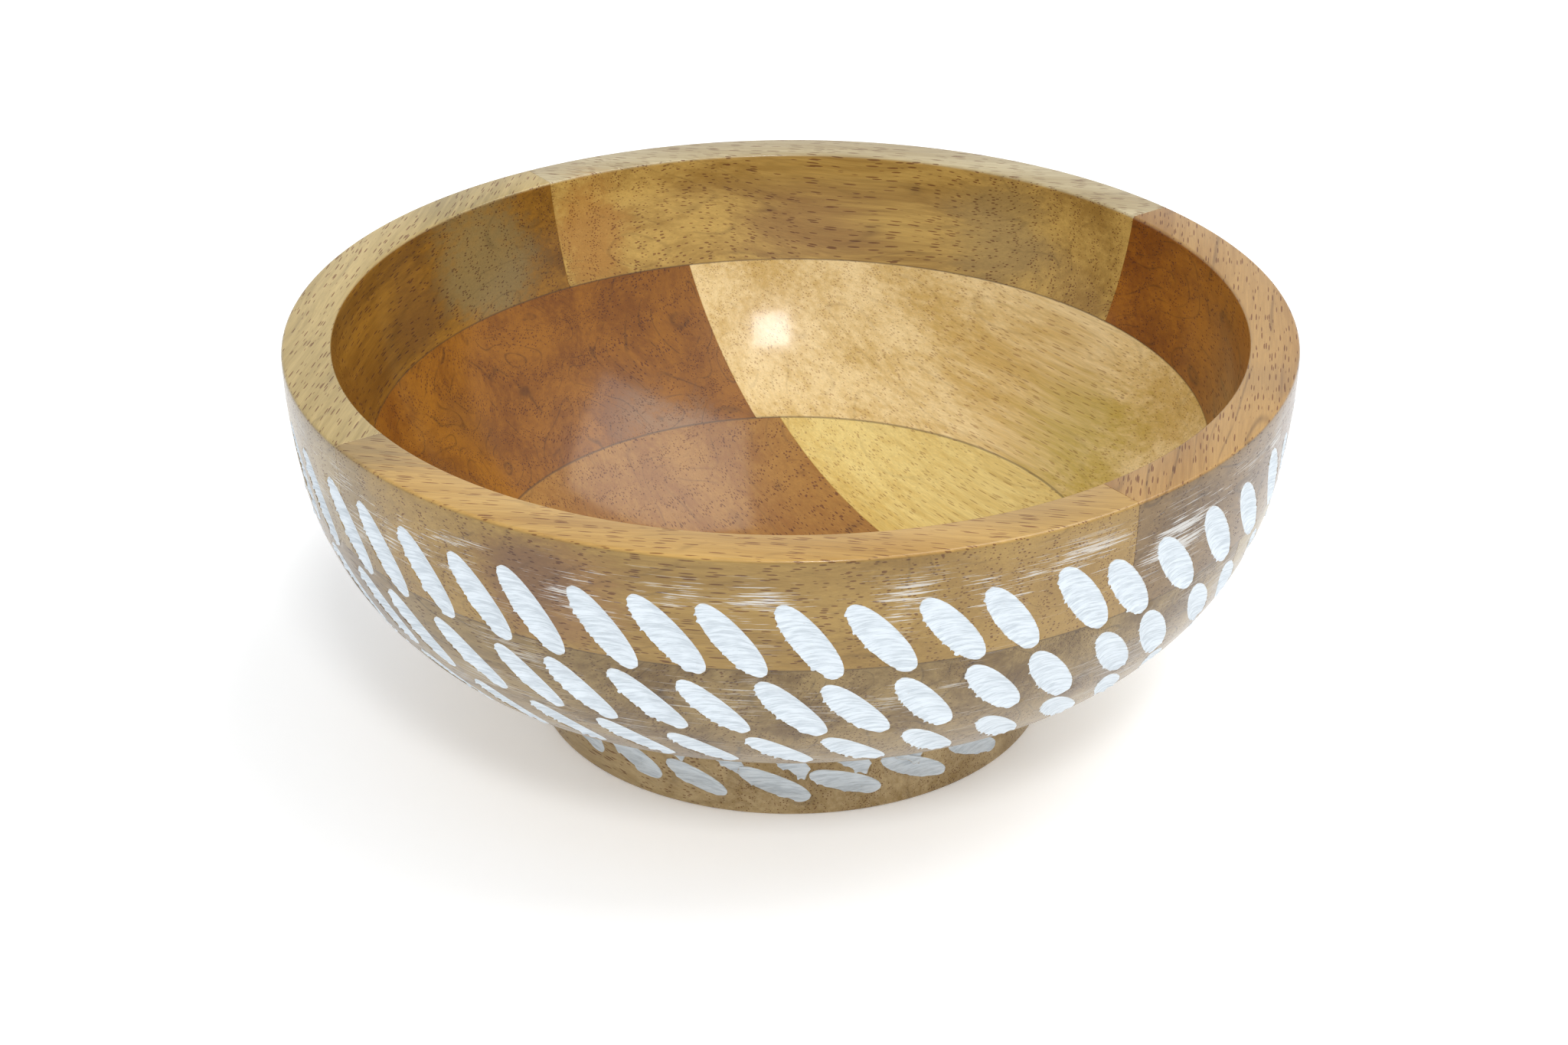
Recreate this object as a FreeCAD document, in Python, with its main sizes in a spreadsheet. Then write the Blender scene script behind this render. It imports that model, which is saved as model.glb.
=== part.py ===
"""Carved wooden bowl: turned from a glued block of boards, with rows of gouged, painted cuts outside.

The frame has +Z up and its origin at the centre of the ring that the bowl rests on; the front is -Y.
Angles round the bowl are in degrees from the front, turning towards +X, and lengths are millimetres.
"""
import FreeCAD
import Part
import math
import os
import random
import Sketcher

DIMENSIONS = {
    # Turned body, outside
    "rim_radius": 127.0,
    "bowl_height": 105.0,
    "edge_round": 0.9,
    "belly_radius_at_ring": 124.5,
    "belly_curve_upper": 169.0,
    "belly_curve_lower": 64.7,
    "bilge_radius": 104.8,
    "bilge_height": 39.7,
    "bilge_round": 15.0,
    "underside_radius": 101.4,
    "underside_height": 37.3,
    "cove_top_radius": 72.05,
    "cove_top_height": 22.35,
    "cove_round": 12.0,
    "neck_radius": 65.5,
    "neck_height": 11.65,
    "foot_radius": 67.4,
    "foot_ring_inner_radius": 56.0,
    "foot_recess_radius": 53.0,
    "foot_recess_depth": 3.0,
    # Turned body, inside
    "rim_inner_radius": 114.7,
    "lip_curve_inside": 106.0,
    "inside_radius_at_ring": 106.5,
    "wall_curve_inside": 113.0,
    "inside_wall_radius": 52.0,
    "inside_wall_height": 20.0,
    "floor_curve_inside": 51.0,
    "floor_flat_radius": 30.0,
    "floor_height": 15.0,
    # Glued layers: a ring of four boards on two layers of two boards each
    "base_thickness": 38.5,
    "middle_thickness": 37.5,
    "ring_thickness": 29.0,
    "block_reach": 140.0,
    "section_turn": 90.0,
    "joint_front_left": 304.2,
    "joint_front_right": 37.5,
    "joint_back_right": 125.6,
    "joint_back_left": 215.8,
    "board_turn": -51.0,
    "middle_joint_offset": 42.0,
    "base_joint_offset": 47.6,
    # Paint in the cuts
    "paint_thickness": 0.25,
}

# Rows of cuts from the top down: how many, the angle of the first, the radius and height where the
# row is seated, the lean from level, the gouge's radius, the radius of its swing and its bite.
ROW_SIZES = ("count", "start", "radius", "height", "lean", "gouge", "swing", "bite")
CUT_ROWS = {
    "one": (50, 1.9, 126.2, 83.5, 53.0, 5.5, 58.0, 1.8),
    "two": (48, -0.3, 120.5, 63.5, 54.0, 5.3, 74.0, 1.8),
    "three": (41, -1.5, 110.5, 47.0, 52.0, 5.3, 59.0, 1.7),
    "four": (36, 3.0, 92.0, 32.5, 50.0, 5.3, 36.0, 1.5),
    "five": (27, -2.6, 66.6, 16.4, 20.0, 3.4, 25.0, 1.2),
    "six": (22, -4.3, 66.2, 8.2, 17.0, 3.4, 70.0, 1.2),
}

# A gouge's swing is drawn this many degrees to each side of its deepest point.
HALF_SWING = 24

# The rows that reach into each glued layer.
RING_ROWS = ("one",)
MIDDLE_ROWS = ("one", "two", "three")
BASE_ROWS = ("three", "four", "five", "six")

# How far a hand-held gouge strays from one cut to the next.
HAND_SEED = 11
ANGLE_STRAY = 0.7
HEIGHT_STRAY = 0.8
LEAN_STRAY = 3.0
BITE_STRAY = 0.1


def add_sheet(doc):
    """Make the spreadsheet that holds every driving dimension under its name."""
    values = dict(DIMENSIONS)
    for row, sizes in CUT_ROWS.items():
        for name, size in zip(ROW_SIZES, sizes):
            values["row_%s_%s" % (row, name)] = size
    sheet = doc.addObject("Spreadsheet::Sheet", "sizes")
    for line, (name, value) in enumerate(values.items(), start=1):
        sheet.set("A%d" % line, name)
        sheet.set("B%d" % line, str(value))
        sheet.setAlias("B%d" % line, name)
    doc.recompute()
    return sheet


def sum_of(sheet, terms):
    """Value of a sum such as 'rim_radius - edge_round', with its names read from the sheet."""
    words = terms.split()
    signs = [1] + [1 if word == "+" else -1 for word in words[1::2]]
    return sum(sign * sheet.get(word) for sign, word in zip(signs, words[0::2]))


def bound(terms):
    """The same sum as an expression that an object's property can be bound to."""
    return " ".join(word if word in "+-" else "sizes." + word for word in terms.split())


def outline_corners():
    """Corners of half the turned section, clockwise from the rim's inner edge.

    Each corner has its radius and height as sums of sheet names (None on the axis or on the resting
    plane), then how the outline goes on to the next corner: None for a straight stretch, or the
    arc's radius and which way it bends.
    """
    ring_joint = "bowl_height - ring_thickness"
    return [
        ("rim_inner_radius + edge_round", "bowl_height", None),
        ("rim_radius - edge_round", "bowl_height", ("edge_round", "right")),
        ("rim_radius", "bowl_height - edge_round", ("belly_curve_upper", "right")),
        ("belly_radius_at_ring", ring_joint, ("belly_curve_lower", "right")),
        ("bilge_radius", "bilge_height", ("bilge_round", "right")),
        ("underside_radius", "underside_height", None),
        ("cove_top_radius", "cove_top_height", ("cove_round", "left")),
        ("neck_radius", "neck_height", None),
        ("foot_radius", "edge_round", ("edge_round", "right")),
        ("foot_radius - edge_round", None, None),
        ("foot_ring_inner_radius", None, None),
        ("foot_recess_radius", "foot_recess_depth", None),
        (None, "foot_recess_depth", None),
        (None, "floor_height", None),
        ("floor_flat_radius", "floor_height", ("floor_curve_inside", "left")),
        ("inside_wall_radius", "inside_wall_height", ("wall_curve_inside", "left")),
        ("inside_radius_at_ring", ring_joint, ("lip_curve_inside", "left")),
        ("rim_inner_radius", "bowl_height - edge_round", ("edge_round", "right")),
    ]


def arc_between(start, end, radius, bend):
    """Arc of a given radius from start to end in the sketch plane, bending left or right."""
    chord = end - start
    middle = (start + end) * 0.5
    inward = FreeCAD.Vector(-chord.y, chord.x, 0).normalize()
    if bend == "right":
        inward = -inward
        start, end = end, start
    centre = middle + inward * math.sqrt(radius ** 2 - (chord.Length / 2) ** 2)
    first = math.atan2(start.y - centre.y, start.x - centre.x)
    last = math.atan2(end.y - centre.y, end.x - centre.x)
    circle = Part.Circle(centre, FreeCAD.Vector(0, 0, 1), radius)
    return Part.ArcOfCircle(circle, first, last)


def draw_outline(sketch, sheet):
    """Draw the turned section and tie every corner and arc to the sheet."""
    corners = outline_corners()
    points = []
    for radius, height, _ in corners:
        across = sum_of(sheet, radius) if radius else 0
        up = sum_of(sheet, height) if height else 0
        points.append(FreeCAD.Vector(across, up, 0))
    ends = []
    for index, (_, _, curve) in enumerate(corners):
        start = points[index]
        end = points[(index + 1) % len(points)]
        if curve is None:
            sketch.addGeometry(Part.LineSegment(start, end), False)
            ends.append((1, 2))
            continue
        size, bend = curve
        sketch.addGeometry(arc_between(start, end, sheet.get(size), bend), False)
        tie(sketch, Sketcher.Constraint("Radius", index, sheet.get(size)), size)
        ends.append((1, 2) if bend == "left" else (2, 1))
    for index, (radius, height, _) in enumerate(corners):
        first = ends[index][0]
        before = (index - 1) % len(corners)
        sketch.addConstraint(Sketcher.Constraint("Coincident", before, ends[before][1], index, first))
        place_corner(sketch, index, first, radius, points[index].x, "DistanceX", -2)
        place_corner(sketch, index, first, height, points[index].y, "DistanceY", -1)


def place_corner(sketch, edge, end, terms, value, direction, axis):
    """Hold one coordinate of a corner: at a distance bound to the sheet, or on an axis."""
    if terms is None:
        sketch.addConstraint(Sketcher.Constraint("PointOnObject", edge, end, axis))
    else:
        tie(sketch, Sketcher.Constraint(direction, -1, 1, edge, end, value), terms)


def tie(sketch, constraint, terms):
    """Add a constraint and bind its value to a sum of sheet names."""
    index = sketch.addConstraint(constraint)
    sketch.setExpression("Constraints[%d]" % index, bound(terms))


def add_turned_body(doc, sheet):
    """Turn the bowl's whole section about the upright axis, starting from the back."""
    body = doc.addObject("PartDesign::Body", "turned_bowl")
    sketch = body.newObject("Sketcher::SketchObject", "turned_section")
    plane = next(item for item in body.Origin.OriginFeatures if item.Role == "XZ_Plane")
    sketch.AttachmentSupport = [(plane, "")]
    sketch.MapMode = "FlatFace"
    draw_outline(sketch, sheet)
    doc.recompute()
    turning = body.newObject("PartDesign::Revolution", "turning")
    turning.Profile = sketch
    turning.ReferenceAxis = (sketch, ["V_Axis"])
    turning.Angle = 360
    body.setExpression("Placement.Rotation.Angle", bound("section_turn"))
    doc.recompute()
    return body, sketch


def seat_on_wall(section, radius, height):
    """Nearest point of the turned section to a radius and height, and the outward direction there."""
    target = Part.Vertex(radius, 0, height)
    edge = min(section.Edges, key=lambda item: item.distToShape(target)[0])
    point = edge.distToShape(target)[1][0][0]
    along = edge.tangentAt(edge.Curve.parameter(point))
    outward = FreeCAD.Vector(along.z, 0, -along.x).normalize()
    if outward.x < 0:
        outward = -outward
    return point, outward


def gouge_placement(section, radius, height, angle, lean, stand_off):
    """Where the gouge's swing is centred: square to the wall, leaning down to the right."""
    point, outward = seat_on_wall(section, radius, height)
    turn = FreeCAD.Rotation(FreeCAD.Vector(0, 0, 1), angle - 90)
    out = turn.multVec(outward)
    down = turn.multVec(FreeCAD.Vector(outward.z, 0, -outward.x))
    slope = math.radians(lean)
    long_way = out.cross(down) * math.cos(slope) + down * math.sin(slope)
    facing = FreeCAD.Rotation(-out, long_way, -out.cross(long_way), "ZXY")
    first = FreeCAD.Rotation(FreeCAD.Vector(0, 0, 1), -HALF_SWING)
    return FreeCAD.Placement(turn.multVec(point) + out * stand_off, facing.multiply(first))


def add_swing(doc, name, placement, arc_radius, gouge_radius):
    """One swing of a round gouge: part of a ring as thick as the gouge."""
    swing = doc.addObject("Part::Torus", name)
    swing.setExpression("Radius1", arc_radius)
    swing.setExpression("Radius2", gouge_radius)
    swing.Angle3 = 2 * HALF_SWING
    swing.Placement = placement
    return swing


def add_cut_row(doc, sheet, section, row, hand):
    """All the gouge swings of one row, and the same swings drawn in by the paint's thickness."""
    size = {name: sheet.get("row_%s_%s" % (row, name)) for name in ROW_SIZES}
    cell = "sizes.row_%s_" % row
    arc_radius = "%sswing - %sgouge" % (cell, cell)
    cuts = []
    faces = []
    for number in range(int(size["count"])):
        angle = size["start"] + 360 * number / size["count"] + hand.uniform(-1, 1) * ANGLE_STRAY
        height = size["height"] + hand.uniform(-1, 1) * HEIGHT_STRAY
        lean = size["lean"] + hand.uniform(-1, 1) * LEAN_STRAY
        bite = size["bite"] * (1 + hand.uniform(-1, 1) * BITE_STRAY)
        placement = gouge_placement(section, size["radius"], height, angle, lean, size["swing"] - bite)
        name = "row_%s_cut_%02d" % (row, number + 1)
        cuts.append(add_swing(doc, name, placement, arc_radius, cell + "gouge"))
        face_radius = cell + "gouge - sizes.paint_thickness"
        faces.append(add_swing(doc, name + "_face", placement, arc_radius, face_radius))
    return add_group(doc, "row_%s_cuts" % row, cuts), add_group(doc, "row_%s_faces" % row, faces)


def add_group(doc, name, members):
    """Hold separate solids together as one compound."""
    group = doc.addObject("Part::Compound", name)
    group.Links = members
    return group


def add_boolean(doc, kind, name, base, tool):
    """A cut or common of two objects."""
    result = doc.addObject("Part::" + kind, name)
    result.Base = base
    result.Tool = tool
    return result


def add_ring_block(doc, name, first, last):
    """The part of the ring layer between two joints, as a wedge of a round block."""
    block = doc.addObject("Part::Cylinder", name)
    block.setExpression("Radius", bound("block_reach"))
    block.setExpression("Height", bound("ring_thickness"))
    block.setExpression("Angle", "mod(%s + 360; 360)" % bound("%s - %s" % (last, first)))
    block.setExpression("Placement.Base.z", bound("base_thickness + middle_thickness"))
    block.setExpression("Placement.Rotation.Angle", bound(first) + " - 90")
    return block


def add_flat_block(doc, name, bottom, thickness, near, width):
    """A straight board of a lower layer; near is how far its first long edge lies from the axis."""
    block = doc.addObject("Part::Box", name)
    block.setExpression("Length", "2 * sizes.block_reach")
    block.setExpression("Width", width)
    block.setExpression("Height", bound(thickness))
    turn = "(sizes.board_turn * 1 deg)"
    block.setExpression("Placement.Base.x", "-sizes.block_reach * cos%s - (%s) * sin%s" % (turn, near, turn))
    block.setExpression("Placement.Base.y", "(%s) * cos%s - sizes.block_reach * sin%s" % (near, turn, turn))
    block.setExpression("Placement.Base.z", bottom)
    block.setExpression("Placement.Rotation.Angle", bound("board_turn"))
    return block


def add_boards(doc, turned, rows):
    """Share the turned bowl out between its glued boards, and gouge each board's share of the rows."""
    reach = "sizes.block_reach"
    middle_joint = bound("middle_joint_offset")
    base_joint = bound("base_joint_offset")
    base_top = bound("base_thickness")
    blocks = [
        ("ring_board_front", RING_ROWS, add_ring_block(doc, "front_block", "joint_front_left", "joint_front_right")),
        ("ring_board_right", RING_ROWS, add_ring_block(doc, "right_block", "joint_front_right", "joint_back_right")),
        ("ring_board_back", RING_ROWS, add_ring_block(doc, "back_block", "joint_back_right", "joint_back_left")),
        ("ring_board_left", RING_ROWS, add_ring_block(doc, "left_block", "joint_back_left", "joint_front_left")),
        ("middle_board_wide", MIDDLE_ROWS, add_flat_block(
            doc, "middle_wide_block", base_top, "middle_thickness", "-" + reach, reach + " + " + middle_joint
        )),
        ("middle_board_narrow", MIDDLE_ROWS, add_flat_block(
            doc, "middle_narrow_block", base_top, "middle_thickness", middle_joint, reach + " - " + middle_joint
        )),
        ("base_board_wide", BASE_ROWS, add_flat_block(
            doc, "base_wide_block", "0", "base_thickness", "-" + reach, reach + " + " + base_joint
        )),
        ("base_board_narrow", BASE_ROWS, add_flat_block(
            doc, "base_narrow_block", "0", "base_thickness", base_joint, reach + " - " + base_joint
        )),
    ]
    boards = []
    for name, reached, block in blocks:
        blank = add_boolean(doc, "Common", name + "_blank", turned, block)
        cuts = add_group(doc, name + "_cuts", [rows[row][0] for row in reached])
        boards.append(add_boolean(doc, "Cut", name, blank, cuts))
    return boards


def main():
    doc = FreeCAD.newDocument("carved_bowl")
    sheet = add_sheet(doc)
    turned, section = add_turned_body(doc, sheet)
    hand = random.Random(HAND_SEED)
    rows = {row: add_cut_row(doc, sheet, section.Shape, row, hand) for row in CUT_ROWS}
    nodes = add_boards(doc, turned, rows)
    for row, (cuts, faces) in rows.items():
        bites = add_boolean(doc, "Common", "row_%s_bites" % row, turned, cuts)
        nodes.append(add_boolean(doc, "Cut", "paint_row_" + row, bites, faces))
    doc.recompute()
    check_and_write(doc, nodes)


def check_and_write(doc, nodes):
    """Stop on anything failed or invalid; otherwise write one STEP file for each sub-part."""
    for item in doc.Objects:
        if "Invalid" in item.State or "Error" in item.State:
            raise RuntimeError("%s did not compute: %s" % (item.Name, item.State))
    for node in nodes:
        if node.Shape.isNull() or not node.Shape.isValid():
            raise RuntimeError("%s has no valid shape" % node.Label)
    os.makedirs("parts", exist_ok=True)
    for node in nodes:
        node.Shape.exportStep("parts/%s.step" % node.Label)


main()
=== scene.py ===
"""Carved wooden bowl: glued mango-wood boards turned to a bowl, with painted gouge cuts outside."""
import math

import bmesh
import bpy
import numpy as np
from mathutils import Matrix, Vector


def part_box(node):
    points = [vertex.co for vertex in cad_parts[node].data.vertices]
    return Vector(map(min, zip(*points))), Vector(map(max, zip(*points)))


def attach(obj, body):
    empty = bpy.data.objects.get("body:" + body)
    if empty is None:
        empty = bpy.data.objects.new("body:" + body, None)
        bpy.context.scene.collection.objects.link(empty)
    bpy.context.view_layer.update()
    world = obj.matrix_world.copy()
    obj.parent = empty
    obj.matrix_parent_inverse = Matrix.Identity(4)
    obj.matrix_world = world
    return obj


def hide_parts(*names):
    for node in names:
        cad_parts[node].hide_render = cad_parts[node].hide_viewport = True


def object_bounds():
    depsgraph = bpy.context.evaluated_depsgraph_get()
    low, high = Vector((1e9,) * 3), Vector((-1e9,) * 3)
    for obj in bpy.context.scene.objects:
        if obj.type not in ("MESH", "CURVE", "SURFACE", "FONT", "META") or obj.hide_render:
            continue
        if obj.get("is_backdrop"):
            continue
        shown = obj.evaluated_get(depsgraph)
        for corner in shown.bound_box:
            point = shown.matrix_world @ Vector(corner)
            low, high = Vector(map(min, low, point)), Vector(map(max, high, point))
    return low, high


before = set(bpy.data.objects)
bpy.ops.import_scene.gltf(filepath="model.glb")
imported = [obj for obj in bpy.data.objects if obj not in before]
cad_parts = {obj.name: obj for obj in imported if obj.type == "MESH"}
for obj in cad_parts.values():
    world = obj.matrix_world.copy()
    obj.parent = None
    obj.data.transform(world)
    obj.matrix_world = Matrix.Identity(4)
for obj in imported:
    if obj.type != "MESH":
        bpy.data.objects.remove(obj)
cad_low, cad_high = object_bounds()

MM = 0.001
RIM_RADIUS = (cad_high.x - cad_low.x) / 2
RIM_HEIGHT = cad_high.z
RING_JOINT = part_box("ring_board_front")[0].z
BASE_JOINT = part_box("base_board_wide")[1].z

# The turner's template, clockwise from the rim's inner edge: radius and height in millimetres, and
# the arc that goes on to the next corner (plus bends left, minus bends right, 0 is straight).
TEMPLATE = (
    (115.6, 105.0, 0),
    (126.1, 105.0, -0.9),
    (127.0, 104.1, -169.0),
    (124.5, 76.0, -64.7),
    (104.8, 39.7, -15.0),
    (101.4, 37.3, 0),
    (72.05, 22.35, 12.0),
    (65.5, 11.65, 0),
    (67.4, 0.9, -0.9),
    (66.5, 0.0, 0),
    (56.0, 0.0, 0),
    (53.0, 3.0, 0),
    (0.0, 3.0, None),
    (0.0, 15.0, 0),
    (30.0, 15.0, 51.0),
    (52.0, 20.0, 113.0),
    (106.5, 76.0, 106.0),
    (114.7, 104.1, -0.9),
)
FOOT_CORNER = 9
HALVINGS = 20
ARC_STEP = 1.6
ROUND_STEP = 0.35
TURN_STEP = math.radians(1.5)
GLUE_GROOVE = 0.10 * MM

# Joints between boards: angles round the ring in degrees from the front, turning towards +X, and the
# straight joints of the two lower layers.
RING_JOINTS = {
    "front": (-55.8, 37.5),
    "right": (37.5, 125.6),
    "back": (125.6, 215.8),
    "left": (215.8, 304.2),
}
LOWER_TURN = math.radians(-51)
MIDDLE_OFFSET = 42 * MM
BASE_OFFSET = 47.6 * MM

# Gouges by row: radius of the tool and radius of its swing, in millimetres.
GOUGES = {
    "one": (5.5, 58.0),
    "two": (5.3, 74.0),
    "three": (5.3, 59.0),
    "four": (5.3, 36.0),
    "five": (3.4, 25.0),
    "six": (3.4, 70.0),
}
# The layers that each row of cuts reaches.
ROWS_REACHING = {
    "ring": ("one",),
    "middle": ("one", "two", "three"),
    "base": ("three", "four", "five", "six"),
}


# ---------------------------------------------------------------- outline of the turned section

def arc_points(start, end, radius, step):
    """Points after start up to and with end, along an arc (plus bends left, minus bends right)."""
    if not radius:
        count = max(1, round((end - start).length / (4 * step)))
        return [start.lerp(end, n / count) for n in range(1, count + 1)]
    chord = end - start
    side = Vector((-chord.y, chord.x)).normalized() * (1 if radius > 0 else -1)
    size = abs(radius)
    centre = (start + end) / 2 + side * math.sqrt(size ** 2 - (chord.length / 2) ** 2)
    sweep = 2 * math.asin(chord.length / 2 / size) * (1 if radius > 0 else -1)
    count = max(3, round(size * abs(sweep) / (ROUND_STEP if size < 2 else step)))
    arm = start - centre
    points = []
    for n in range(1, count + 1):
        turn = Matrix.Rotation(sweep * n / count, 2)
        points.append(centre + turn @ arm)
    return points


def section_points(step=ARC_STEP):
    """The whole outline, from the floor's middle out and over the rim to the foot recess's middle."""
    order = list(TEMPLATE[13:]) + list(TEMPLATE[:13])
    points = [Vector(order[0][:2])]
    for (r, z, bend), after in zip(order, order[1:]):
        points += arc_points(Vector((r, z)), Vector(after[:2]), bend or 0, step)
    return [point * MM for point in points]


def outer_wall():
    """Heights and radii of the outside wall from the foot's edge up to the rim, for looking up."""
    corners = TEMPLATE[1:FOOT_CORNER + 1]
    points = [Vector(corners[0][:2])]
    for (r, z, bend), after in zip(corners, corners[1:]):
        points += arc_points(Vector((r, z)), Vector(after[:2]), bend or 0, 0.4)
    points = np.array([tuple(point * MM) for point in reversed(points)])
    return points[:, 1], points[:, 0]


WALL_HEIGHTS, WALL_RADII = outer_wall()

# A line up the middle of the wall: inside it the surface is the inside of the bowl.
INSIDE_HEIGHTS = np.array((13, 14, 20, 40, 76, 105)) * MM
INSIDE_RADII = np.array((0, 45, 62, 93, 115.5, 121)) * MM


def outside_wall(places):
    """How far each place is outside the turned wall (below zero: in the wood)."""
    return np.hypot(places[..., 0], places[..., 1]) - np.interp(places[..., 2], WALL_HEIGHTS, WALL_RADII)


# ---------------------------------------------------------------- places of the gouged cuts

def loose_parts(node):
    """Corner places and triangles of each separate solid in a CAD node."""
    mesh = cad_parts[node].data
    mesh.calc_loop_triangles()
    places = np.empty(len(mesh.vertices) * 3)
    mesh.vertices.foreach_get("co", places)
    places = places.reshape(-1, 3)
    corners = np.empty(len(mesh.loop_triangles) * 3, int)
    mesh.loop_triangles.foreach_get("vertices", corners)
    _, same = np.unique(np.round(places * 1e6).astype(int), axis=0, return_inverse=True)
    triangles = same.reshape(-1)[corners].reshape(-1, 3)
    label = np.arange(triangles.max() + 1)
    while True:
        lowest = label[triangles].min(axis=1)
        before = label.copy()
        for column in range(3):
            np.minimum.at(label, triangles[:, column], lowest)
        label = label[label]
        if (label == before).all():
            break
    owner = label[triangles[:, 0]]
    return [places[corners.reshape(-1, 3)[owner == part]] for part in np.unique(owner)]


def cut_frame(triangles):
    """Where one cut lies: its deepest point, long way (down to the right), wide way and way out."""
    middles = triangles.mean(axis=1)
    sides = triangles[:, 1:] - triangles[:, :1]
    areas = np.linalg.norm(np.cross(sides[:, 0], sides[:, 1]), axis=1)
    centre = (middles * areas[:, None]).sum(axis=0) / areas.sum()
    spread = (middles - centre) * np.sqrt(areas)[:, None]
    _, ways = np.linalg.eigh(spread.T @ spread)
    long_way, out = ways[:, 2], ways[:, 0]
    if long_way[2] > 0:
        long_way = -long_way
    if out @ (centre * (1, 1, 0)) < 0:
        out = -out
    wide = np.cross(out, long_way)
    corners = triangles.reshape(-1, 3)
    deepest = centre + out * ((corners - centre) @ out).min()
    return deepest, long_way, wide, out


class RowOfCuts:
    """The gouged cuts of one row: where each lies, and the surface that the gouge left."""

    def __init__(self, row):
        self.gouge, self.swing = (size * MM for size in GOUGES[row])
        frames = [cut_frame(part) for part in loose_parts("paint_row_" + row)]
        self.deepest, self.long_way, self.wide, self.out = (np.array(part) for part in zip(*frames))
        self.count = len(frames)
        which = np.arange(self.count)
        limit = self.swing * (0.44 if row == "five" else 0.34)
        self.tips = [self.tip(which, way, limit) for way in (-1, 1)]

    def trough(self, along, across):
        """Height of the gouged surface over the cut's deepest point."""
        across = np.clip(across, -self.gouge * 0.98, self.gouge * 0.98)
        tube = self.swing - self.gouge + np.sqrt(self.gouge ** 2 - across ** 2)
        return self.swing - np.sqrt(tube ** 2 - along ** 2)

    def spot(self, which, along, across, up):
        """A place in the bowl's frame from a place in a cut's own."""
        return (
            self.deepest[which] + self.long_way[which] * along[:, None]
            + self.wide[which] * across[:, None] + self.out[which] * up[:, None]
        )

    def furthest(self, which, place_at, limit, low=0.0):
        """By halving, the largest reach up to limit that is still in the wood."""
        low, high = np.full(len(which), low), np.full(len(which), limit)
        for _ in range(HALVINGS):
            middle = (low + high) / 2
            inside = outside_wall(self.spot(which, *place_at(middle))) < 0
            low, high = np.where(inside, middle, low), np.where(inside, high, middle)
        return low

    def station(self, which, t):
        """Place along the cut for t from -1 to 1 between its tips."""
        first, last = -self.tips[0][which], self.tips[1][which]
        return (first + last) / 2 + (last - first) / 2 * t

    def tip(self, which, way, limit):
        """How far the cut runs along its middle, up (-1) or down (1)."""
        return self.furthest(
            which, lambda reach: (way * reach, reach * 0, self.trough(reach, reach * 0)), limit
        )

    def half_width(self, which, along, way):
        """How wide the cut is at a station, to its lower left (-1) or upper right (1)."""
        return self.furthest(
            which, lambda reach: (along, way * reach, self.trough(along, way * reach)), self.gouge * 0.97
        )

    def wall(self, which, along, across):
        """Height of the turned wall over the cut's deepest point."""
        return self.furthest(which, lambda up: (along, across, up), 7 * MM, low=-1 * MM)


CUTS = {row: RowOfCuts(row) for row in GOUGES}


# ---------------------------------------------------------------- boards

def board_wire(low, high):
    """A mesh of edges that follow the turned section between two heights."""
    shape = bmesh.new()
    corners = [shape.verts.new((p.x, 0, p.y)) for p in section_points()]
    for first, second in zip(corners, corners[1:]):
        shape.edges.new((first, second))
    for height, above in ((low, False), (high, True)):
        if height is None:
            continue
        bmesh.ops.bisect_plane(
            shape, geom=shape.verts[:] + shape.edges[:], dist=1e-7, plane_co=(0, 0, height),
            plane_no=(0, 0, 1), clear_outer=above, clear_inner=not above,
        )
        ends = [v for v in shape.verts if abs(v.co.z - height) < 1e-6 and len(v.link_edges) == 1]
        shape.edges.new(ends)
    return shape


def close_ends(shape, groove):
    """Close the sawn ends of a board and ease their edges into a fine groove."""
    edges = [edge for edge in shape.edges if edge.is_boundary]
    ends = bmesh.ops.holes_fill(shape, edges=edges, sides=0)["faces"]
    bmesh.ops.recalc_face_normals(shape, faces=shape.faces[:])
    rims = list({edge for face in ends for edge in face.edges})
    bmesh.ops.bevel(
        shape, geom=rims, offset=groove, segments=1, profile=0.5, affect="EDGES", material=-1
    )


def turn_wire(shape, start, sweep):
    """Turn the section's edges round the upright axis, from a starting angle."""
    full = sweep > 6.28
    steps = round(sweep / TURN_STEP)
    bmesh.ops.rotate(shape, verts=shape.verts[:], cent=(0, 0, 0), matrix=Matrix.Rotation(start, 3, "Z"))
    bmesh.ops.spin(
        shape, geom=shape.verts[:] + shape.edges[:], cent=(0, 0, 0), axis=(0, 0, 1),
        angle=sweep, steps=steps, use_merge=full,
    )
    bmesh.ops.remove_doubles(shape, verts=shape.verts[:], dist=1e-6)


def ring_board(first, last):
    """One board of the top ring, between two joint angles."""
    shape = board_wire(RING_JOINT, None)
    turn_wire(shape, math.radians(first - 90), math.radians(last - first))
    close_ends(shape, GLUE_GROOVE)
    return shape


def lower_board(low, high, offset, beyond):
    """One board of a lower layer, on one side of that layer's straight joint."""
    shape = board_wire(low, high)
    turn_wire(shape, 0, 2 * math.pi)
    across = Vector((-math.sin(LOWER_TURN), math.cos(LOWER_TURN), 0))
    bmesh.ops.bisect_plane(
        shape, geom=shape.verts[:] + shape.edges[:] + shape.faces[:], dist=1e-7, plane_co=across * offset,
        plane_no=across, clear_outer=not beyond, clear_inner=beyond,
    )
    close_ends(shape, GLUE_GROOVE)
    return shape


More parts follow.
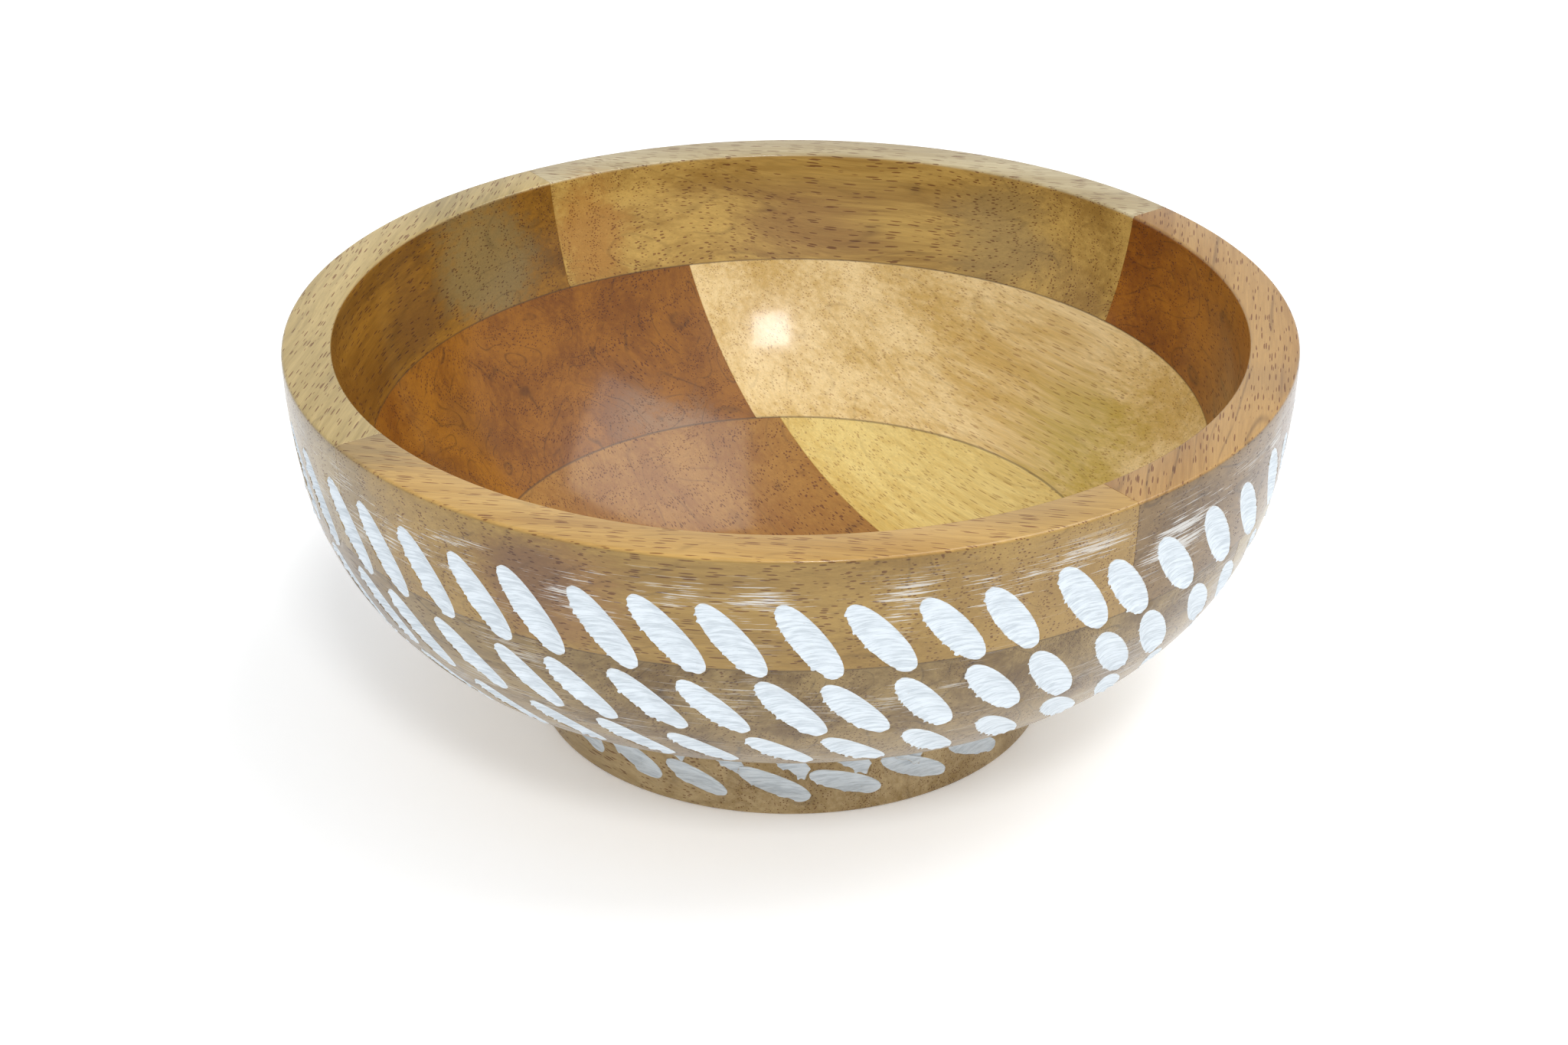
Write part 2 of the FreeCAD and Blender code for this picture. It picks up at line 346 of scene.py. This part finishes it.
def blank_cuts(count, stations, lines, solid):
    """A grid for each cut, -1 to 1 both ways; z is its number, plus a half on a solid's upper side."""
    shape = bmesh.new()
    for number in range(count):
        made = bmesh.ops.create_grid(
            shape, x_segments=stations, y_segments=lines, size=1, matrix=Matrix.Translation((0, 0, number))
        )["verts"]
        if solid:
            faces = list({face for v in made for face in v.link_faces})
            upper = bmesh.ops.extrude_face_region(shape, geom=faces)["geom"]
            upper = [v for v in upper if isinstance(v, bmesh.types.BMVert)]
            bmesh.ops.translate(shape, verts=upper, vec=(0, 0, 0.5))
    return shape


def vertex_places(mesh):
    """A mesh's vertex places as an array."""
    places = np.empty(len(mesh.vertices) * 3)
    mesh.vertices.foreach_get("co", places)
    return places.reshape(-1, 3)


def gouge_tool(row):
    """The cuts of a row as closed solids just wider than the cuts, to be taken out of a board."""
    cuts = CUTS[row]
    tool = to_object(blank_cuts(cuts.count, 26, 12, True), "gouges_" + row)
    t, s, number = vertex_places(tool.data).T
    which = np.floor(number + 0.1).astype(int)
    along = cuts.station(which, t * 1.03)
    sides = [np.maximum(cuts.half_width(which, along, way), 0.25 * MM) + 0.12 * MM for way in (-1, 1)]
    across = (sides[1] - sides[0]) / 2 + (sides[1] + sides[0]) / 2 * s
    up = cuts.trough(along, across)
    over = np.maximum(up, cuts.wall(which, along, across)) + 1.5 * MM
    up = np.where(number - which > 0.25, over, up)
    tool.data.vertices.foreach_set("co", cuts.spot(which, along, across, up).reshape(-1))
    shape = bmesh.new()
    shape.from_mesh(tool.data)
    bmesh.ops.recalc_face_normals(shape, faces=shape.faces[:])
    shape.to_mesh(tool.data)
    shape.free()
    return tool


def to_object(shape, name):
    """Turn a finished bmesh into an object in the scene."""
    mesh = bpy.data.meshes.new(name)
    shape.to_mesh(mesh)
    shape.free()
    thing = bpy.data.objects.new(name, mesh)
    bpy.context.scene.collection.objects.link(thing)
    return thing


def gouged(shape, name, rows):
    """Cut the rows out of a board, and shade it smooth except at crisp edges."""
    board = to_object(shape, name)
    tools = [gouge_tool(row) for row in rows]
    for tool in tools:
        cut = board.modifiers.new("gouging", "BOOLEAN")
        cut.operation = "DIFFERENCE"
        cut.solver = "MANIFOLD"
        cut.object = tool
    seen = bpy.context.evaluated_depsgraph_get()
    carved = bpy.data.meshes.new_from_object(board.evaluated_get(seen))
    board.modifiers.clear()
    plain, board.data = board.data, carved
    bpy.data.meshes.remove(plain)
    for tool in tools:
        bpy.data.objects.remove(tool)
    carved.name = name
    carved.materials.clear()
    places = vertex_places(carved)
    radii, heights = np.hypot(places[:, 0], places[:, 1]), places[:, 2]
    inside = np.interp(heights, INSIDE_HEIGHTS, INSIDE_RADII) > radii
    carved.attributes.new("inside", "FLOAT", "POINT").data.foreach_set("value", inside.astype(np.float32))
    carved.shade_smooth()
    carved.set_sharp_from_angle(angle=math.radians(28))
    return board


# ---------------------------------------------------------------- paint in the cuts

class SoftNoise:
    """Smooth seeded noise over two lengths, for ridges and ragged edges."""

    def __init__(self, seed):
        self.cells = np.random.default_rng(seed).random((256, 256))

    def __call__(self, first, second):
        a, b = np.floor(first).astype(int), np.floor(second).astype(int)
        fa, fb = first - a, second - b
        fa, fb = fa * fa * (3 - 2 * fa), fb * fb * (3 - 2 * fb)
        near = self.cells[a % 256, b % 256] * (1 - fa) + self.cells[(a + 1) % 256, b % 256] * fa
        far = self.cells[a % 256, (b + 1) % 256] * (1 - fa) + self.cells[(a + 1) % 256, (b + 1) % 256] * fa
        return near * (1 - fb) + far * fb


def paint_row(row, stations, lines):
    """The white paint of one row: a ridged skin in every cut, ragged along its lower left edge."""
    cuts = CUTS[row]
    piece = to_object(blank_cuts(cuts.count, stations, lines, False), "paint_cuts_" + row)
    mesh = piece.data
    t, s, number = vertex_places(mesh).T
    which = np.round(number).astype(int)
    t = np.sign(t) * (1 - (1 - np.abs(t)) ** 1.25)
    along = cuts.station(which, t * 0.995)
    sides = [cuts.half_width(which, along, way) for way in (-1, 1)]
    out = cuts.out[which]
    upright = np.array((0, 0, 1)) - out * out[:, 2:]
    upright /= np.linalg.norm(upright, axis=1, keepdims=True)
    level = np.cross(upright, out)
    soft = SoftNoise(sum(map(ord, row)))

    def fibres(places, pitch, length, drift):
        off = places - cuts.deepest[which]
        climb = (off * upright).sum(axis=1) / (pitch * MM)
        run = (off * level).sum(axis=1) / (length * MM)
        return soft(run + which * 7.31 + drift, climb + which * 21.9 + drift + 0.35 * run)

    edge = np.where(s < 0, -sides[0], sides[1])
    tears = fibres(cuts.spot(which, along, edge, cuts.trough(along, edge)), 0.55, 40, 11)
    breadth = np.minimum((sides[0] + sides[1]) / (4 * MM), 1)
    lower = sides[0] + (1.5 * np.clip(tears - 0.45, 0, 1) - 0.20 * tears - 0.06) * MM * breadth
    upper = sides[1] + (0.10 * tears - 0.07) * MM * breadth
    across = (upper - lower) / 2 + (upper + lower) / 2 * s
    skin = np.minimum(cuts.trough(along, across), cuts.wall(which, along, across))
    places = cuts.spot(which, along, across, skin)
    ridges = 0.55 * fibres(places, 0.62, 9, 0) + 0.30 * fibres(places, 0.31, 6, 31)
    ridges += 0.15 * fibres(places, 1.9, 12, 57)
    hem = np.clip((1 - np.abs(s)) / 0.16, 0, 1) * np.clip((1 - np.abs(t)) / 0.06, 0, 1)
    film = (-0.025 + hem * (0.05 + 0.46 * ridges)) * MM
    mesh.vertices.foreach_set("co", cuts.spot(which, along, across, skin + film).reshape(-1))
    mesh.attributes.new("hem", "FLOAT", "POINT").data.foreach_set("value", (1 - hem).astype(np.float32))
    mesh.update()
    mesh.shade_smooth()
    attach(piece, "root")
    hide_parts("paint_row_" + row)
    return piece


# ---------------------------------------------------------------- node helpers

def put(tree, kind, inputs=(), **settings):
    """Add a node, set its options, and set or link its inputs."""
    node = tree.nodes.new(kind)
    for name, value in settings.items():
        setattr(node, name, value)
    for name, value in dict(inputs).items():
        if isinstance(value, bpy.types.NodeSocket):
            tree.links.new(value, node.inputs[name])
        else:
            node.inputs[name].default_value = value
    return node


def maths(tree, operation, first, second=0.0, clamp=False):
    """One maths node."""
    inputs = {0: first, 1: second}
    return put(tree, "ShaderNodeMath", inputs, operation=operation, use_clamp=clamp).outputs[0]


def scaled(tree, value, by, plus):
    """A value times a number, plus another."""
    return put(tree, "ShaderNodeMath", {0: value, 1: by, 2: plus}, operation="MULTIPLY_ADD").outputs[0]


def times(tree, first, second):
    """Two values multiplied."""
    return maths(tree, "MULTIPLY", first, second)


def vector(tree, operation, first, second):
    """One vector maths node."""
    return put(tree, "ShaderNodeVectorMath", {0: first, 1: second}, operation=operation).outputs[0]


def rise(tree, value, low, high):
    """0 below low, 1 above high, smooth between (low may be the larger, for a fall)."""
    if low > high:
        return maths(tree, "SUBTRACT", 1.0, rise(tree, value, high, low))
    node = put(tree, "ShaderNodeMapRange", {"Value": value, "From Min": low, "From Max": high})
    node.interpolation_type = "SMOOTHSTEP"
    return node.outputs[0]


def mixed(tree, factor, first, second, mode="MIX"):
    """Two colours mixed."""
    node = put(tree, "ShaderNodeMix", {0: factor, 6: first, 7: second}, data_type="RGBA", blend_type=mode)
    return node.outputs[2]


def noise(tree, place, scale, detail=2.0, roughness=0.5):
    """Noise with its own scale along each axis, in cycles per millimetre."""
    return put(tree, "ShaderNodeTexNoise", {
        "Vector": vector(tree, "MULTIPLY", place, scale),
        "Scale": 1.0,
        "Detail": detail,
        "Roughness": roughness,
    }).outputs[0]


def new_group(name, inputs, outputs):
    """A shader node group with named sockets; gives its tree, input node and output node."""
    tree = bpy.data.node_groups.new(name, "ShaderNodeTree")
    for label, kind, value in inputs:
        socket = tree.interface.new_socket(name=label, in_out="INPUT", socket_type=kind)
        if value is not None:
            socket.default_value = value
    for label, kind in outputs:
        tree.interface.new_socket(name=label, in_out="OUTPUT", socket_type=kind)
    return tree, tree.nodes.new("NodeGroupInput"), tree.nodes.new("NodeGroupOutput")


# ---------------------------------------------------------------- finishes

GLUE_BROWN = (0.05, 0.028, 0.014, 1)
DUST_WHITE = (0.72, 0.72, 0.70, 1)
RING_BROWN = (0.10, 0.05, 0.02, 1)
PORE_BROWN = (0.34, 0.17, 0.09, 1)
# Painted shade: the grey of the paint in the grooves between its ridges.
PAINTED_GROOVE_SHADE = (0.52, 0.575, 0.62, 1)
PAINT_WHITE = (0.71, 0.77, 0.82, 1)
BARE_SPECK = (0.42, 0.34, 0.22, 1)
THIN_PAINT = (0.46, 0.36, 0.22, 1)


def grain_group():
    """Timber figure round a board's long direction X, in millimetres."""
    tree, given, put_out = new_group(
        "timber grain",
        (
            ("Place", "NodeSocketVector", None),
            ("Band Size", "NodeSocketFloat", 1.0),
            ("Curl", "NodeSocketFloat", 6.0),
        ),
        (
            ("Tone", "NodeSocketFloat"),
            ("Rings", "NodeSocketFloat"),
            ("Fibres", "NodeSocketFloat"),
            ("Pores", "NodeSocketFloat"),
            ("Height", "NodeSocketFloat"),
        ),
    )
    place = given.outputs["Place"]
    wander = put(tree, "ShaderNodeTexNoise", {
        "Vector": vector(tree, "MULTIPLY", place, (0.014, 0.03, 0.03)), "Scale": 1.0, "Detail": 1.0,
    }).outputs["Color"]
    wander = vector(tree, "SUBTRACT", wander, (0.5, 0.5, 0.5))
    curl = put(tree, "ShaderNodeVectorMath", {0: wander, "Scale": given.outputs["Curl"]}, operation="SCALE")
    bent = vector(tree, "ADD", place, vector(tree, "MULTIPLY", curl.outputs[0], (0.4, 1.6, 1.6)))
    sized = put(
        tree, "ShaderNodeVectorMath", {0: bent, "Scale": given.outputs["Band Size"]}, operation="SCALE"
    ).outputs[0]
    broad = noise(tree, sized, (0.006, 0.060, 0.060), 2.0, 0.5)
    streaks = noise(tree, bent, (0.022, 0.62, 0.62), 3.0, 0.6)
    tone = maths(tree, "ADD", times(tree, broad, 0.62), times(tree, streaks, 0.38))
    tree.links.new(rise(tree, tone, 0.34, 0.66), put_out.inputs["Tone"])

    hills = noise(tree, sized, (0.005, 0.036, 0.036), 1.0, 0.4)
    steps = maths(tree, "PINGPONG", times(tree, hills, 17.0), 0.5)
    ring = rise(tree, maths(tree, "ABSOLUTE", steps), 0.10, 0.0)
    gaps = rise(tree, noise(tree, place, (0.05, 0.2, 0.2), 1.0), 0.38, 0.62)
    tree.links.new(times(tree, ring, gaps), put_out.inputs["Rings"])

    fibres = noise(tree, bent, (0.12, 2.6, 2.6), 3.0, 0.7)
    tree.links.new(fibres, put_out.inputs["Fibres"])

    cells = put(tree, "ShaderNodeTexVoronoi", {
        "Vector": vector(tree, "MULTIPLY", bent, (0.17, 1.9, 1.9)), "Scale": 1.0, "Randomness": 1.0,
    })
    own = put(tree, "ShaderNodeSeparateColor", {"Color": cells.outputs["Color"]}).outputs[0]
    size = scaled(tree, rise(tree, own, 0.05, 0.85), 0.36, 0.02)
    short = maths(tree, "SUBTRACT", size, cells.outputs["Distance"])
    pores = rise(tree, short, -0.01, 0.07)
    tree.links.new(pores, put_out.inputs["Pores"])
    height = maths(tree, "SUBTRACT", times(tree, fibres, 0.35), times(tree, pores, 0.9))
    tree.links.new(height, put_out.inputs["Height"])
    return tree


def rubbed_group():
    """White paint dust left in scratches on the outside wall, and dark glue lines at the layers."""
    tree, given, put_out = new_group(
        "paint dust and glue",
        (
            ("Place", "NodeSocketVector", None),
            ("Inside", "NodeSocketFloat", 0.0),
        ),
        (
            ("Dust", "NodeSocketFloat"),
            ("Glue", "NodeSocketFloat"),
        ),
    )
    place = given.outputs["Place"]
    height = put(tree, "ShaderNodeSeparateXYZ", {0: place}).outputs["Z"]
    scratch = noise(tree, place, (0.07, 0.07, 2.8), 3.0, 0.8)
    patchy = noise(tree, place, (0.05, 0.05, 0.10), 2.0, 0.5)
    dust = rise(tree, maths(tree, "ADD", scratch, times(tree, patchy, 0.62)), 0.89, 0.99)
    belt = times(tree, rise(tree, height, 78.0, 90.0), rise(tree, height, 104.0, 95.0))
    lower = times(tree, rise(tree, height, 30.0, 44.0), rise(tree, height, 80.0, 72.0))
    where = maths(tree, "ADD", belt, times(tree, lower, 0.55), clamp=True)
    outside = maths(tree, "SUBTRACT", 1.0, given.outputs["Inside"], clamp=True)
    dust = times(tree, times(tree, dust, where), outside)
    tree.links.new(dust, put_out.inputs["Dust"])
    lines = None
    for layer in (RING_JOINT / MM, BASE_JOINT / MM):
        off = maths(tree, "ABSOLUTE", maths(tree, "SUBTRACT", height, layer))
        line = rise(tree, off, 0.30, 0.08)
        lines = maths(tree, "MAXIMUM", lines, line) if lines else line
    tree.links.new(lines, put_out.inputs["Glue"])
    return tree


def place_in_mm(tree):
    """Object coordinates in millimetres."""
    inputs = {0: put(tree, "ShaderNodeTexCoord").outputs["Object"], "Scale": 1 / MM}
    return put(tree, "ShaderNodeVectorMath", inputs, operation="SCALE").outputs[0]


def timber(
    name, groups, grain_turn, shift, outside, within,
    band=1.0, curl=6.0, ring_strength=0.22, pore_strength=0.8, rim=None, patches=(),
):
    """A lacquered board.

    outside, within and rim are pairs of a dark and a light colour; rim is painted light, lighter
    colours for the flat top where more light falls. A patch is a stained place or a painted sheen:
    its middle in millimetres, its reach, how much shorter it is along each axis, colour and strength.
    """
    grain, rubbed = groups
    material = bpy.data.materials.new(name)
    material.use_nodes = True
    tree = material.node_tree
    surface = tree.nodes["Principled BSDF"]
    place = place_in_mm(tree)
    along = put(tree, "ShaderNodeMapping", {
        "Vector": place, "Rotation": (0, 0, math.radians(-grain_turn)), "Location": shift,
    }).outputs[0]
    figure = put(tree, "ShaderNodeGroup", node_tree=grain)
    tree.links.new(along, figure.inputs["Place"])
    figure.inputs["Band Size"].default_value = band
    figure.inputs["Curl"].default_value = curl
    inside = put(tree, "ShaderNodeAttribute", attribute_name="inside").outputs["Fac"]
    wear = put(tree, "ShaderNodeGroup", {"Place": place, "Inside": inside}, node_tree=rubbed)

    tone = figure.outputs["Tone"]
    outer = mixed(tree, tone, (*outside[0], 1), (*outside[1], 1))
    inner = mixed(tree, tone, (*within[0], 1), (*within[1], 1))
    colour = mixed(tree, inside, outer, inner)
    # Painted light: the flat top of the rim gets its own lighter colours, standing for the light that falls
    # on it from above.
    if rim:
        height = put(tree, "ShaderNodeSeparateXYZ", {0: place}).outputs["Z"]
        lit_rim_top = mixed(tree, tone, (*rim[0], 1), (*rim[1], 1))
        colour = mixed(tree, rise(tree, height, 104.2, 104.8), colour, lit_rim_top)
    # Patches are stains in the wood, except the painted sheen on the middle wide board, a pale patch
    # standing for a reflection.
    for centre, reach, stretch, stain_or_sheen, strength in patches:
        off = vector(tree, "MULTIPLY", vector(tree, "SUBTRACT", place, centre), stretch)
        far = put(tree, "ShaderNodeVectorMath", {0: off}, operation="LENGTH").outputs["Value"]
        ragged = scaled(tree, tone, reach * 0.5, far)
        cover = times(tree, rise(tree, ragged, reach * 1.5, reach * 0.6), strength)
        colour = mixed(tree, cover, colour, (*stain_or_sheen, 1))
    shade = scaled(tree, figure.outputs["Fibres"], 0.60, 0.70)
    grey = put(tree, "ShaderNodeCombineColor", {0: shade, 1: shade, 2: shade}).outputs[0]
    colour = mixed(tree, 1.0, colour, grey, "MULTIPLY")
    rings = times(tree, figure.outputs["Rings"], ring_strength)
    colour = mixed(tree, rings, colour, RING_BROWN, "MULTIPLY")
    pores = times(tree, figure.outputs["Pores"], pore_strength)
    colour = mixed(tree, pores, colour, PORE_BROWN, "MULTIPLY")
    colour = mixed(tree, times(tree, wear.outputs["Glue"], 0.55), colour, GLUE_BROWN)
    colour = mixed(tree, times(tree, wear.outputs["Dust"], 0.72), colour, DUST_WHITE)
    tree.links.new(colour, surface.inputs["Base Color"])
    rough = scaled(tree, wear.outputs["Dust"], 0.3, scaled(tree, pores, 0.22, 0.34))
    tree.links.new(rough, surface.inputs["Roughness"])
    surface.inputs["Specular IOR Level"].default_value = 0.3
    surface.inputs["Coat Weight"].default_value = 0.4
    surface.inputs["Coat Roughness"].default_value = 0.12
    bump = put(tree, "ShaderNodeBump", {
        "Height": figure.outputs["Height"], "Strength": 0.5, "Distance": 0.06 * MM,
    })
    tree.links.new(bump.outputs[0], surface.inputs["Normal"])
    return material


def chalky_paint():
    """Matt white paint with fine level fibre ridges and painted shade in the grooves between them, yellowed
    where it thins at the edges.
    """
    material = bpy.data.materials.new("chalky_white_paint")
    material.use_nodes = True
    tree = material.node_tree
    surface = tree.nodes["Principled BSDF"]
    place = place_in_mm(tree)
    hem = put(tree, "ShaderNodeAttribute", attribute_name="hem").outputs["Fac"]
    fine = noise(tree, place, (0.35, 0.35, 4.2), 2.0, 0.6)
    coarse = noise(tree, place, (0.16, 0.16, 1.5), 2.0, 0.5)
    both = maths(tree, "ADD", times(tree, fine, 0.45), times(tree, coarse, 0.55))
    # Painted shade: the paint is greyer where the ridge height is low, standing for shade in the grooves.
    colour = mixed(tree, rise(tree, both, 0.36, 0.60), PAINTED_GROOVE_SHADE, PAINT_WHITE)
    specks = rise(tree, noise(tree, place, (0.9, 0.9, 2.4), 2.0, 0.5), 0.70, 0.78)
    colour = mixed(tree, times(tree, specks, 0.35), colour, BARE_SPECK)
    thin = times(tree, rise(tree, hem, 0.25, 1.0), rise(tree, both, 0.62, 0.34))
    colour = mixed(tree, times(tree, thin, 0.8), colour, THIN_PAINT)
    tree.links.new(colour, surface.inputs["Base Color"])
    surface.inputs["Roughness"].default_value = 0.58
    bump = put(tree, "ShaderNodeBump", {"Height": both, "Strength": 0.9, "Distance": 0.35 * MM})
    tree.links.new(bump.outputs[0], surface.inputs["Normal"])
    return material


# ---------------------------------------------------------------- boards, put together

def add_board(node, shape, rows, material):
    """Gouge a board, give it its finish, and let it stand for its CAD node."""
    board = gouged(shape, node.replace("_board", "") + "_timber", rows)
    board.data.materials.append(material)
    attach(board, "root")
    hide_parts(node)
    return board


groups = grain_group(), rubbed_group()

# The rim pairs below are painted light: each ring board's flat top is coloured lighter than its walls, for
# the light that falls on the top.
front_timber = timber(
    "front_board_timber", groups, -9, (13, 40, 7),
    ((0.218, 0.123, 0.025), (0.343, 0.213, 0.055)), ((0.300, 0.145, 0.025), (0.440, 0.238, 0.045)),
    curl=3.0, rim=((0.403, 0.220, 0.050), (0.538, 0.327, 0.094)),
    patches=(
        ((-108, -62, 92), 34, (1, 1, 0.6), (0.235, 0.165, 0.070), 0.75),
        ((-56, -112, 92), 11, (1, 1, 1.1), (0.030, 0.018, 0.012), 0.9),
        ((-52, -114, 90), 20, (1, 1, 1.3), (0.24, 0.115, 0.04), 0.6),
        ((60, -105, 90), 30, (1, 1, 0.8), (0.34, 0.21, 0.065), 0.5),
    ),
)
right_timber = timber(
    "right_board_timber", groups, 81.5, (-30, 15, 52),
    ((0.106, 0.058, 0.019), (0.198, 0.119, 0.042)), ((0.202, 0.056, 0.002), (0.368, 0.130, 0.006)),
    curl=3.0, ring_strength=0.4, rim=((0.288, 0.140, 0.033), (0.432, 0.248, 0.080)),
    patches=(((118, -38, 92), 20, (1, 1, 1), (0.16, 0.095, 0.055), 0.7),),
)
back_timber = timber(
    "back_board_timber", groups, 170.7, (52, -20, 31),
    ((0.168, 0.099, 0.030), (0.294, 0.186, 0.060)), ((0.329, 0.186, 0.036), (0.573, 0.372, 0.096)),
    band=1.2, curl=9.0, rim=((0.360, 0.270, 0.132), (0.520, 0.432, 0.253)),
    patches=(
        ((-56, 95, 90), 13, (1, 1, 0.8), (0.46, 0.22, 0.045), 0.65),
        ((60, 92, 88), 20, (1, 1, 1.2), (0.36, 0.25, 0.09), 0.6),
        ((5, 110, 84), 14, (0.5, 1, 1.4), (0.27, 0.135, 0.045), 0.55),
    ),
)
left_timber = timber(
    "left_board_timber", groups, 260, (5, 77, -40),
    ((0.175, 0.115, 0.040), (0.308, 0.218, 0.090)), ((0.135, 0.053, 0.003), (0.306, 0.143, 0.014)),
    curl=4.0, rim=((0.336, 0.237, 0.080), (0.504, 0.370, 0.150)),
    patches=(
        ((-84, 72, 90), 19, (1, 1, 0.8), (0.25, 0.185, 0.070), 0.75),
        ((-98, 44, 90), 12, (1, 1, 0.7), (0.17, 0.075, 0.015), 0.6),
    ),
)
middle_wide_timber = timber(
    "middle_wide_timber", groups, -51, (-70, 22, 90),
    ((0.122, 0.069, 0.018), (0.259, 0.175, 0.064)), ((0.185, 0.058, 0.002), (0.310, 0.118, 0.007)),
    band=1.2, curl=14.0, ring_strength=0.4,
    patches=(
        ((-66, 12, 46), 22, (1, 1, 1.4), (0.24, 0.095, 0.018), 0.65),
        ((-84, 36, 58), 15, (1, 1.5, 1.4), (0.21, 0.080, 0.012), 0.6),
        # Painted sheen: a pale greyish patch near the joint, standing for a soft reflection on the lacquer.
        ((-30, 62, 50), 18, (1, 1, 1), (0.40, 0.26, 0.13), 0.55),
        ((-70, -38, 46), 18, (1, 1, 1.3), (0.50, 0.30, 0.08), 0.5),
    ),
)
middle_narrow_timber = timber(
    "middle_narrow_timber", groups, -51, (40, -52, 12),
    ((0.194, 0.132, 0.050), (0.324, 0.238, 0.100)), ((0.594, 0.382, 0.102), (0.864, 0.657, 0.323)),
    curl=3.0, ring_strength=0.15, pore_strength=0.45,
    patches=(
        ((70, 28, 54), 26, (1, 0.8, 1.3), (0.50, 0.37, 0.06), 0.75),
        ((6, 70, 62), 22, (0.7, 1, 1.4), (0.60, 0.42, 0.14), 0.6),
    ),
)
base_wide_timber = timber(
    "base_wide_timber", groups, -51, (90, 60, -20),
    ((0.266, 0.166, 0.051), (0.475, 0.345, 0.170)), ((0.264, 0.104, 0.012), (0.370, 0.177, 0.030)),
    curl=9.0, patches=(
        ((-38, -30, 18), 14, (1, 2, 1), (0.33, 0.150, 0.025), 0.65),
        ((-10, 20, 15), 16, (1, 1.6, 1), (0.46, 0.26, 0.09), 0.5),
    ),
)
base_narrow_timber = timber(
    "base_narrow_timber", groups, -51, (-15, -90, 64),
    ((0.297, 0.202, 0.072), (0.468, 0.352, 0.184)), ((0.620, 0.420, 0.104), (0.800, 0.620, 0.224)),
    curl=3.0, ring_strength=0.15, pore_strength=0.45,
    patches=(((20, 10, 16), 13, (0.7, 1.4, 1), (0.58, 0.43, 0.07), 0.75),),
)

ring_timbers = {"front": front_timber, "right": right_timber, "back": back_timber, "left": left_timber}
for side, finish in ring_timbers.items():
    shape = ring_board(*RING_JOINTS[side])
    add_board("ring_board_" + side, shape, ROWS_REACHING["ring"], finish)

# The lower layers: name, lower and upper height, how far the joint is off the axis, and the timber of
# the board on the near side of the joint and of the one beyond it.
for layer, low, high, offset, timbers in (
    ("middle", BASE_JOINT, RING_JOINT, MIDDLE_OFFSET, (middle_wide_timber, middle_narrow_timber)),
    ("base", None, BASE_JOINT, BASE_OFFSET, (base_wide_timber, base_narrow_timber)),
):
    for width, beyond, finish in zip(("wide", "narrow"), (False, True), timbers):
        shape = lower_board(low, high, offset, beyond)
        add_board(layer + "_board_" + width, shape, ROWS_REACHING[layer], finish)

# Each row of paint, with how many cells each cut has along and across.
paint = chalky_paint()
for row, stations, lines in (
    ("one", 90, 14),
    ("two", 90, 14),
    ("three", 76, 14),
    ("four", 40, 12),
    ("five", 40, 12),
    ("six", 40, 12),
):
    paint_row(row, stations, lines).data.materials.append(paint)


# ---------------------------------------------------------------- studio

def matt_white(name, colour):
    """A plain floor finish."""
    material = bpy.data.materials.new(name)
    material.use_nodes = True
    surface = material.node_tree.nodes["Principled BSDF"]
    surface.inputs["Base Color"].default_value = (*colour, 1)
    surface.inputs["Roughness"].default_value = 0.9
    surface.inputs["Specular IOR Level"].default_value = 0.1
    surface.inputs["Emission Color"].default_value = (1, 1, 1, 1)
    surface.inputs["Emission Strength"].default_value = 0.22
    return material


def add_floor():
    """A wide pale floor under the foot."""
    shape = bmesh.new()
    bmesh.ops.create_grid(shape, x_segments=1, y_segments=1, size=12)
    floor = to_object(shape, "studio_floor")
    floor.data.materials.append(matt_white("pale_floor", (0.94, 0.94, 0.94)))
    floor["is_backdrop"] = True


def add_softbox(name, azimuth, elevation, distance, width, power):
    """A square softbox aimed at the bowl; azimuth turns from the front towards +X."""
    light = bpy.data.lights.new(name, "AREA")
    light.shape = "SQUARE"
    light.size = width
    light.energy = power
    lamp = bpy.data.objects.new(name, light)
    turn, tilt = math.radians(azimuth), math.radians(elevation)
    arm = Vector((math.sin(turn) * math.cos(tilt), -math.cos(turn) * math.cos(tilt), math.sin(tilt)))
    lamp.location = Vector((0, 0, 0.06)) + arm * distance
    lamp.rotation_euler = arm.to_track_quat("Z", "Y").to_euler()
    bpy.context.scene.collection.objects.link(lamp)


def add_camera():
    """The viewing camera: over the front rim, looking down into the bowl."""
    lens = bpy.data.cameras.new("view")
    lens.lens = 67.18
    lens.sensor_width = 36
    view = bpy.data.objects.new("view", lens)
    pitch, yaw, roll = 0.49003, -0.00265, -0.00396
    ahead = Vector((math.sin(yaw) * math.cos(pitch), math.cos(yaw) * math.cos(pitch), -math.sin(pitch)))
    right = ahead.cross(Vector((0, 0, 1))).normalized()
    up = right.cross(ahead)
    right, up = right * math.cos(roll) + up * math.sin(roll), up * math.cos(roll) - right * math.sin(roll)
    view.matrix_world = Matrix((right, up, -ahead)).transposed().to_4x4()
    view.location = (0, -5.3136 * RIM_RADIUS, RIM_HEIGHT + 2.3743 * RIM_RADIUS)
    bpy.context.scene.collection.objects.link(view)
    bpy.context.scene.camera = view


add_floor()
add_softbox("key_softbox", 7, 46, 2.2, 0.36, 13)
add_softbox("overhead_softbox", 96, 62, 2.6, 1.8, 34)
world = bpy.data.worlds.new("white_studio")
world.use_nodes = True
world.node_tree.nodes["Background"].inputs["Color"].default_value = (0.97, 0.985, 1.0, 1)
world.node_tree.nodes["Background"].inputs["Strength"].default_value = 0.74
bpy.context.scene.world = world
bpy.context.scene.view_settings.view_transform = "Standard"
add_camera()

low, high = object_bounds()
